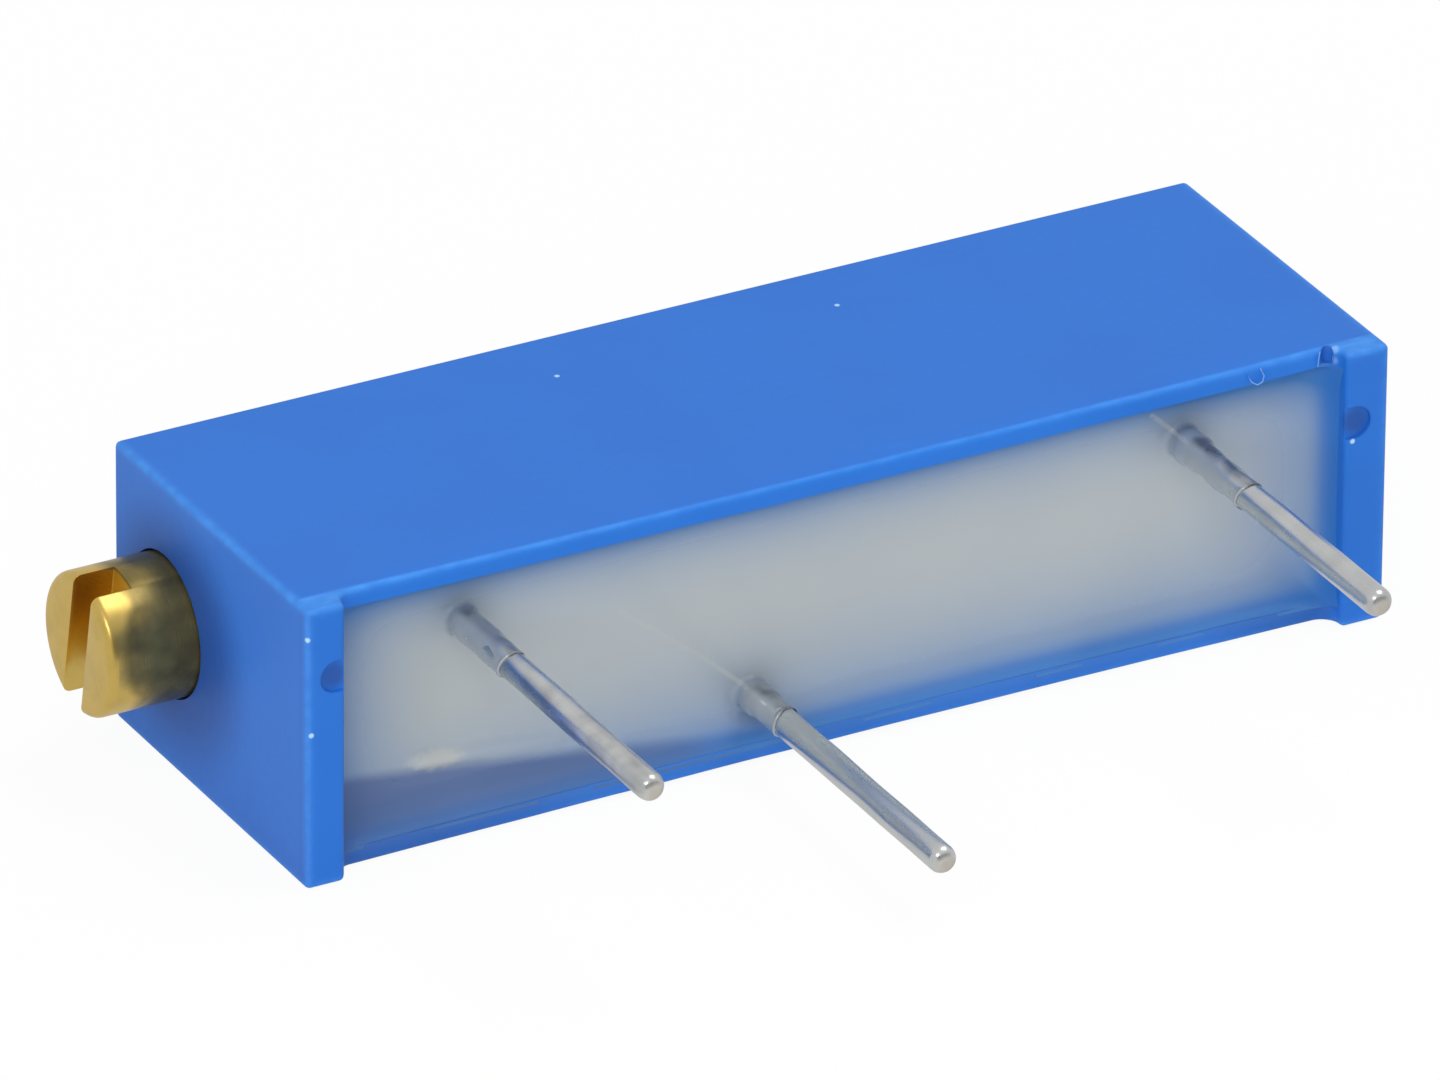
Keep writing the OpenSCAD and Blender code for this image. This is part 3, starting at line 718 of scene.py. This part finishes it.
def sleeveRings():  # radius and height of each ring, from the flare to the hole for the wire
    look = epoxyLook
    tube, flare, bead = look["sleeveRadius"], look["flare"], look["bead"]
    foot = look["mound"] + flare

    def uneven(pin, out, rise):
        bulge = noise.noise((pin["x"] * 3 + out.x * 1.1, rise * 2.6, out.z * 1.1))
        swelling = pin["swelling"] * exp(-((rise - 0.32) / 0.24) ** 2)
        return look["wobble"] * bulge + swelling * (0.7 + 0.3 * sin(rise * 14 + out.x * 2))

    def flareRing(angle):
        share = 1 - cos(angle)
        return lambda pin, out: (tube + flare * (1 - sin(angle)) + uneven(pin, out, 0.0) * share,
                                 look["mound"] + flare * share)

    def shaftRing(share):
        def ring(pin, out):
            top = pin["sleeve"] - 2.4 * bead
            rise = foot + (top - foot) * share
            return tube - 0.012 * share + uneven(pin, out, rise - foot), rise
        return ring

    def beadRing(turn):
        def ring(pin, out):
            centre = pin["sleeve"] - bead
            slant = 0.09 * (out.x * sin(pin["x"]) + out.z * cos(pin["x"]))
            full = 0.10 + 0.90 * smooth(0.5 - 0.45 * out.x + 0.35 * out.z)
            return 0.236 + bead * cos(turn) * 1.2 * full, centre + bead * sin(turn) * full + slant
        return ring

    rings = [flareRing(radians(18 + step * 9)) for step in range(1, 9)]
    rings += [shaftRing(step / 20) for step in range(1, 21)]
    rings += [beadRing(radians(-70 + step * 20)) for step in range(9)]
    rings += [lambda pin, out: (0.224, pin["sleeve"] - 0.04), lambda pin, out: (0.224, foot),
              lambda pin, out: (0.246, 0.0), lambda pin, out: (0.246, look["surface"] - stripLow.y)]
    return rings


def castEpoxy():
    look = epoxyLook
    width, height = castHigh.x - castLow.x, castHigh.z - castLow.z
    middle = (castLow + castHigh) / 2
    deselectAll()
    bpy.ops.mesh.primitive_grid_add(
        x_subdivisions=round(width / look["cell"]), y_subdivisions=round(height / look["cell"]),
        size=1.0, location=(middle.x, look["surface"], middle.z), rotation=(pi / 2, 0, 0))
    piece = bpy.context.object
    piece.name = "castEpoxy"
    piece.scale = (width, height, 1)
    bpy.ops.object.transform_apply(location=True, rotation=True, scale=True)
    mesh = piece.data

    def nearPin(at, reach):
        pin = nearestPin(at.x, at.z)
        return hypot(at.x - pin["x"], at.z - pin["z"]) < reach

    bpy.ops.object.mode_set(mode="EDIT")
    bpy.ops.mesh.select_mode(type="VERT")
    bpy.ops.mesh.select_all(action="DESELECT")
    bpy.ops.object.mode_set(mode="OBJECT")
    for corner in mesh.vertices:
        corner.select = nearPin(corner.co, look["hole"] + 0.02)
    bpy.ops.object.mode_set(mode="EDIT")
    bpy.ops.mesh.delete(type="VERT")
    bpy.ops.object.mode_set(mode="OBJECT")
    for corner in mesh.vertices:
        corner.co.y = look["surface"] - climbAt(corner.co.x, corner.co.z)

    pickBorder(mesh, lambda at: nearPin(at, look["hole"] + 0.14))
    outer = look["sleeveRadius"] + look["flare"]
    first = look["flare"] - sqrt(look["flare"] ** 2 - max(outer - look["hole"], 0.0) ** 2)
    moveRing(mesh, lambda pin, out: (look["hole"], look["mound"] + first))
    for level in sleeveRings():
        bpy.ops.mesh.extrude_edges_move(TRANSFORM_OT_translate={"value": (0, -0.001, 0)})
        moveRing(mesh, level)

    pickBorder(mesh, lambda at: not nearPin(at, look["hole"] - 0.05))
    bpy.ops.mesh.extrude_edges_move(TRANSFORM_OT_translate={"value": (0, 0, 0)})
    bpy.ops.object.mode_set(mode="OBJECT")
    spread = ((width + 2 * look["tuck"]) / width, (height + 2 * look["tuck"]) / height)
    for corner in mesh.vertices:  # the edges go a little way into the walls
        if corner.select:
            corner.co.x = middle.x + (corner.co.x - middle.x) * spread[0]
            corner.co.z = middle.z + (corner.co.z - middle.z) * spread[1]
    bpy.ops.object.mode_set(mode="EDIT")
    bpy.ops.mesh.extrude_edges_move(TRANSFORM_OT_translate={"value": (0, 0.5, 0)})
    bpy.ops.object.mode_set(mode="OBJECT")
    for corner in mesh.vertices:
        if corner.select:
            corner.co.y = stripLow.y
    bpy.ops.object.mode_set(mode="EDIT")
    bpy.ops.mesh.select_all(action="DESELECT")
    bpy.ops.mesh.select_non_manifold(extend=False, use_wire=False, use_boundary=True,
                                     use_multi_face=False, use_non_contiguous=False, use_verts=False)
    bpy.ops.mesh.fill()
    bpy.ops.mesh.select_all(action="SELECT")
    bpy.ops.mesh.normals_make_consistent(inside=False)
    bpy.ops.object.mode_set(mode="OBJECT")
    return piece


def toThread(x, z, ends):  # distance from a straight thread on the surface
    (startX, startZ), (endX, endZ) = ends
    length = hypot(endX - startX, endZ - startZ)
    wayX, wayZ = (endX - startX) / length, (endZ - startZ) / length
    along = (x - startX) * wayX + (z - startZ) * wayZ
    past = (along - length).larger(0.0).larger(along * -1.0)
    off = (x - startX) * -wayZ + (z - startZ) * wayX
    return (past * past + off * off).root()


def epoxyFinish():
    look = epoxyLook
    finish, paint, place = startMaterial("castEpoxy")
    x, y, z = axesOf(paint, place)
    broad = grain(paint, place, 0.5, 2.0)
    fine = grain(paint, place, 9.0, 3.0)
    # the blue of the housing shows through near its walls, partly as painted reflection of the walls
    # and painted shade from the upper wall
    gaps = {"lower": z - castLow.z, "upper": castHigh.z - z, "farEnd": castHigh.x - x,
            "screwEnd": x - castLow.x}
    squares = []
    for wall, (share, reach, power) in look["blues"].items():
        if wall == "upper":
            share = share + x.fade(4.0, 8.0, 0.0, look["bluerAtFarEnd"])
        tint = gaps[wall].falloff(reach, power) * share
        squares.append(tint * tint)
    blueness = sum(squares[1:], squares[0]).root() + (broad - 0.5) * 0.10
    blueness = blueness.smaller(1.0).larger(0.0)

    # painted shade round each root, stronger above it, and a thin skin up each wire with painted shade
    # on one side
    rootShades, sleeves, shades = [], [], []
    for pin in pins:
        dx, dz = x - pin["x"], z - pin["z"]
        gap = (dx * dx + dz * dz).root()
        near = gap.fade(0.30, 0.345, 1.0, 0.0)
        paleTop = look["surface"] - look["mound"] - pin["paleUpTo"]
        rootShades.append((gap - 0.25).falloff(0.36, 1.3) * (0.30 + (dz / gap) * 0.18))
        sleeves.append(near * (paleTop - y).fade(-0.08, 0.12))
        shades.append(((dx * 0.75 + dz * 0.66) / gap).fade(0.0, 0.6) * near)
    onSleeve = largest(sleeves)

    grey = x.fade(-7.2, -5.2, 1.0, 0.0).mix(look["grey"], look["warmGrey"])
    colour = (blueness / 0.85).smaller(1.0).mix(grey, look["slate"])
    colour = largest(rootShades).larger(0.0).mix(colour, look["rootShade"])
    # deeper where it climbs the walls, with a brighter seam along the long ones
    lean = (1.0 - x * x / leanHalf ** 2).larger(0.0) * housingLook["bow"]
    longWalls = (z - castLow.z).smaller(castHigh.z - z) - lean
    endWalls = (castHigh.x - x).smaller(x - castLow.x)
    climbs = (look["surface"] - y).fade(0.02, 0.40)
    toWall = longWalls.smaller(endWalls).fade(-0.02, 0.38, 1.0, 0.0) * climbs
    seam = longWalls.fade(0.0, 0.14, 1.0, 0.0) * endWalls.fade(0.05, 0.45)
    colour = toWall.mix(colour, seam.mix(look["wallTint"], look["seam"]))
    # painted shade below the raised run and below pin A's tip, a painted highlight on the run's top,
    # and pale threads
    under = (1.27 - (x + 7.4) * 0.12 - z).fade(0.0, 0.25) * x.fade(-2.8, -1.4, 0.85, 0.0)
    colour = (under * (1.0 - toWall * 0.40)).mix(colour, look["duskShade"])
    along, across = alongRidge(x, z)
    along = along + 0.90
    spread = (along * along * 4.2 + across * across * 26.0).root()
    pale = (spread + (fine - 0.5) * 0.7).fade(0.55, 1.15, 0.72, 0.0)
    thread = largest([toThread(x, z, ends).fade(0.02, 0.055, 1.0, 0.0) for ends in look["threads"]])
    thread = thread * fine.fade(0.35, 0.55, 0.5, 1.0)
    colour = (pale.larger(thread * 0.38) * (1.0 - onSleeve)).mix(colour, look["pale"])
    lobes = grain(paint, place, 2.4, 1.0)
    dark = (largest(shades) * (0.50 + lobes.fade(0.35, 0.65) * 0.55)).smaller(1.0)
    colour = onSleeve.mix(colour, dark.mix(look["sleeve"], look["sleeveShade"]))
    gloss = 1.0 - toWall.larger(blueness.fade(0.30, 0.62))
    rough = 0.18 + fine * 0.06 + (1.0 - gloss) * 0.42
    skin = bump(paint, broad * 0.7 + fine * 0.3 + thread * 1.5, 0.06, 0.00002)
    return closeMaterial(finish, paint, {
        "Base Color": colour, "Metallic": onSleeve * 0.3, "Roughness": rough, "Normal": skin,
        "Coat Weight": (gloss * 0.4 + 0.1).larger(onSleeve), "Coat Roughness": 0.07, "IOR": 1.5,
        "Specular IOR Level": 0.35})


finishPiece(castEpoxy(), "base", epoxyFinish(), "epoxy_fill", 60)

# Wire pins
pinLook = {
    "radius": 0.232,
    "rootRadius": 0.25,
    "collarRadius": 0.42,
    "collar": (-1.65, -1.80),
    "tipFlat": 0.05,
    "tipRound": 0.19,
    "edge": 0.03,
    "ringGap": 0.16,
    "wobble": 0.0096,  # unevenness of the drawn wire
    "steps": 48,
    "tin": (0.76, 0.775, 0.765),
    "tarnish": (0.50, 0.51, 0.515),
    "cutEnd": (0.46, 0.42, 0.355),
}


def tinnedWire(pin):
    look = pinLook
    finish, paint, place = startMaterial("tinned" + pin["name"])
    drawn = grain(paint, place, 2.4, 2.0, (3.0, 0.25, 3.0))
    blotch = grain(paint, place, 1.6, 2.0)
    centre = (pin["x"] + 0.02, pin["tip"], pin["z"] - 0.06)
    cut = distanceTo(paint, place, centre).fade(0.08, 0.24, 1.0, 0.0)
    dull = (blotch.fade(0.35, 0.7) * 0.6 + drawn.fade(0.35, 0.7) * 0.3) * pin["dull"]
    colour = dull.smaller(1.0).mix(look["tin"], look["tarnish"])
    colour = (cut * 0.85).mix(colour, look["cutEnd"])
    rough = 0.18 + drawn * 0.10 + blotch * 0.10 + cut * 0.20
    skin = bump(paint, drawn * 0.5 + blotch * 0.7, 0.09, 0.00002)
    return closeMaterial(finish, paint, {
        "Base Color": colour, "Metallic": 1.0 - cut * 0.75, "Roughness": rough, "Normal": skin})


def makePin(pin):
    look = pinLook
    x, z = pin["x"], pin["z"]
    root, wire, collar = look["rootRadius"], look["radius"], look["collarRadius"]
    top, under = look["collar"]
    soft, surface = look["edge"], epoxyLook["surface"]
    outline = [(0.0, pin["stub"]), (root - soft, pin["stub"]), (root, pin["stub"] - soft), (root, top),
               (collar - soft, top), (collar, top - soft), (collar, under + soft),
               (collar - soft, under), (root, under), (root, surface), (wire, surface - pin["sleeve"])]
    bare = surface - pin["sleeve"] - pin["tip"] - look["tipRound"]
    rings = round(bare / look["ringGap"])
    outline += [(wire, surface - pin["sleeve"] - bare * ring / rings) for ring in range(1, rings)]
    for step in range(0, 10):
        angle = radians(step * 10)
        outline.append((look["tipFlat"] + (wire - look["tipFlat"]) * cos(angle),
                        pin["tip"] + look["tipRound"] * (1 - sin(angle))))
    outline.append((0.0, pin["tip"]))
    points = [(x + radius, y, z) for radius, y in outline]
    piece = turnProfile(pin["name"], points, (x, 0, z), (0, 1, 0), look["steps"])
    for corner in piece.data.vertices:  # a drawn wire is a little uneven
        at = corner.co
        out = Vector((at.x - x, 0, at.z - z))
        if at.y < surface - pin["sleeve"] - 0.1 and out.length > 0.06:
            dent = noise.noise((out.x * 7 + x, at.y * 0.9, out.z * 7))
            at += out * look["wobble"] / wire * dent
    return piece


for pin in pins:
    finishPiece(makePin(pin), "base", tinnedWire(pin), pin["node"], 50)

# Brass adjusting screw
screwLook = {
    "axis": (0, 1.5, 2.415),
    "headRadius": 1.165,
    "rimRound": 0.14,
    "slotWidth": 0.6,
    "slotDepth": 0.7,
    "slotTurn": 10,  # degrees
    "sealGroove": (-8.665, -8.105, 0.77),  # start, end and radius at its floor
    "forkGroove": (-7.805, -7.305, 0.65),
    "flange": 1.065,
    "tail": 0.45,
    "edge": 0.04,
    "steps": 96,
    "core": 0.56,  # radius under the thread
    "crest": 0.70,  # radius over the thread
    "threadOutline": (0.05, 0.27, 0.39, 0.61),  # foot, crest, crest and foot along one turn
    "pitch": 0.75,
    "rod": (-7.025, 7.225),
    "brass": (0.80, 0.565, 0.150),
    "tarnish": (0.56, 0.40, 0.12),
    # olive is the painted shade and dark reflection on the head's side, partly tarnish
    "olive": (0.20, 0.155, 0.055),
}


def turnedBrass():
    look = screwLook
    finish, paint, place = startMaterial("turnedBrass")
    centred = paint.node("ShaderNodeVectorMath", {"operation": "SUBTRACT"}, {0: place, 1: look["axis"]})
    x, y, z = axesOf(paint, centred)
    radius = (y * y + z * z).root()
    lathe = paint.node("ShaderNodeTexNoise", {"noise_dimensions": "1D"},
                       {"W": radius + x * 0.7, "Scale": 26.0, "Detail": 3.0})
    blotch = grain(paint, place, 2.6, 4.0)
    side = (radius - look["headRadius"] + 0.10).fade(0.0, 0.08)
    # painted shade and dark reflection, partly tarnish, on the side of the head away from the lamps; it
    # starts nearer the head's end where the side faces -y
    middle = ((z * 0.2 - y * 0.95) / look["headRadius"]).fade(0.72, 0.98)
    start = 0.52 - middle * 0.34 + (blotch - 0.5) * 0.35
    shadedSide = side * (x - screwLow.x - start).fade(-0.10, 0.16)
    colour = (blotch.fade(0.42, 0.72) * 0.3).mix(look["brass"], look["tarnish"])
    colour = (shadedSide * (0.50 + blotch * 0.7)).smaller(1.0).mix(colour, look["olive"])
    rough = 0.20 + lathe * 0.10 + blotch * 0.10
    skin = bump(paint, lathe + blotch * 0.6, 0.14, 0.00001)
    return closeMaterial(finish, paint, {
        "Base Color": colour, "Metallic": 1.0 - shadedSide * 0.2, "Roughness": rough, "Normal": skin})


def makeThread():  # one ridge wound along the rod, as its own closed shape
    look = screwLook
    _, axisY, axisZ = look["axis"]
    start, end = look["rod"]
    turns = int((end - start) / look["pitch"]) - 1
    foot, crest = look["core"] - 0.03, look["crest"]
    outline = zip(look["threadOutline"], (foot, crest, crest, foot))
    points = [(start + 0.1 + x, axisY + radius, axisZ) for x, radius in outline]
    piece = tracePath("thread", points + points[:1])
    bpy.ops.mesh.select_all(action="SELECT")
    bpy.ops.mesh.remove_doubles(threshold=0.0005)
    bpy.ops.mesh.edge_face_add()
    bpy.ops.object.mode_set(mode="OBJECT")
    centre = bpy.data.objects.new("threadCentre", None)
    bpy.context.scene.collection.objects.link(centre)
    centre.location = (0, axisY, axisZ)
    bpy.context.view_layer.update()
    applyModifier(piece, "SCREW", {
        "axis": "X", "object": centre, "screw_offset": look["pitch"] * turns, "angle": 2 * pi * turns,
        "steps": 32 * turns, "render_steps": 32 * turns, "use_merge_vertices": False})
    bpy.data.objects.remove(centre)
    return piece


def makeScrew():
    look = screwLook
    _, axisY, axisZ = look["axis"]
    head, journal, rim = screwLow.x, look["headRadius"], look["rimRound"]
    start, end = look["rod"]
    outline = [(head, 0.0), (head, journal - rim)]
    for step in range(1, 7):
        angle = radians(step * 15)
        outline.append((head + rim * (1 - cos(angle)), journal - rim + rim * sin(angle)))
    flange, core, tail, soft = look["flange"], look["core"], look["tail"], look["edge"]
    for (opens, closes, floor), after in ((look["sealGroove"], journal), (look["forkGroove"], flange)):
        outline += [(opens, journal), (opens, floor), (closes, floor), (closes, after)]
    outline += [(start, flange), (start, core), (end, core), (end, tail),
                (screwHigh.x - soft, tail), (screwHigh.x, tail - soft), (screwHigh.x, 0.0)]
    points = [(x, axisY + radius, axisZ) for x, radius in outline]
    piece = turnProfile("brassScrew", points, look["axis"], (1, 0, 0), look["steps"])
    deselectAll()
    bpy.ops.mesh.primitive_cube_add(size=1, location=(head, axisY, axisZ),
                                    rotation=(radians(look["slotTurn"]), 0, 0))
    blade = bpy.context.object
    blade.scale = (2 * look["slotDepth"], look["slotWidth"], 5)
    cutAway(piece, blade)
    applyModifier(piece, "BEVEL", {"width": look["edge"], "segments": 3, "limit_method": "ANGLE",
                                   "angle_limit": radians(40)})
    return piece


brassScrew = makeScrew()
thread = makeThread()
applyModifier(brassScrew, "BOOLEAN", {"operation": "UNION", "object": thread, "solver": "EXACT"})
bpy.data.objects.remove(thread)
finishPiece(brassScrew, "adjuster", turnedBrass(), "adjusting_screw", 35)


# Finishes of the pieces inside
def insideFinish(name, colour, other, metallic, roughness, scale, stretch=(1, 1, 1)):
    finish, paint, place = startMaterial(name)
    broad = grain(paint, place, scale, 3.0, stretch)
    fine = grain(paint, place, scale * 9, 3.0, stretch)
    mixed = (broad.fade(0.35, 0.7) * 0.8).mix(colour, other)
    return closeMaterial(finish, paint, {
        "Base Color": mixed, "Metallic": metallic, "Roughness": roughness + fine * 0.15,
        "Normal": bump(paint, fine, 0.12, 0.00001)})


# Two colours, metallic, roughness, size of the pattern and how it is stretched
insideLooks = {
    "shaft_seal": insideFinish(
        "sealRubber", (0.02, 0.02, 0.021), (0.035, 0.035, 0.037), 0.0, 0.6, 3.0),
    "retaining_fork": insideFinish(
        "forkSteel", (0.5, 0.51, 0.53), (0.4, 0.41, 0.43), 1.0, 0.3, 2.0, (1, 1, 8)),
    "slider": insideFinish(
        "sliderPlastic", (0.80, 0.78, 0.70), (0.70, 0.68, 0.60), 0.0, 0.5, 2.0),
    "contact_spring": insideFinish(
        "springAlloy", (0.66, 0.50, 0.22), (0.55, 0.40, 0.17), 1.0, 0.2, 3.0, (0.3, 3, 3)),
    "ceramic_strip": insideFinish(
        "whiteCeramic", (0.84, 0.84, 0.81), (0.76, 0.76, 0.74), 0.0, 0.65, 3.0),
    "resistive_track": insideFinish(
        "resistiveFilm", (0.014, 0.014, 0.016), (0.03, 0.03, 0.03), 0.0, 0.45, 4.0),
    "collector_track": insideFinish(
        "metalFilm", (0.48, 0.48, 0.46), (0.38, 0.38, 0.37), 1.0, 0.4, 4.0),
}
insideLooks["end_pad_1"] = insideLooks["end_pad_3"] = insideLooks["collector_track"]
solder = insideFinish("solder", (0.46, 0.47, 0.48), (0.36, 0.37, 0.38), 1.0, 0.22, 5.0)
for number in (1, 2, 3):
    insideLooks["solder_joint_%d" % number] = solder
for node, finish in insideLooks.items():
    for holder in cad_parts[node].material_slots:
        holder.material = finish
print("the pieces inside have their finishes")
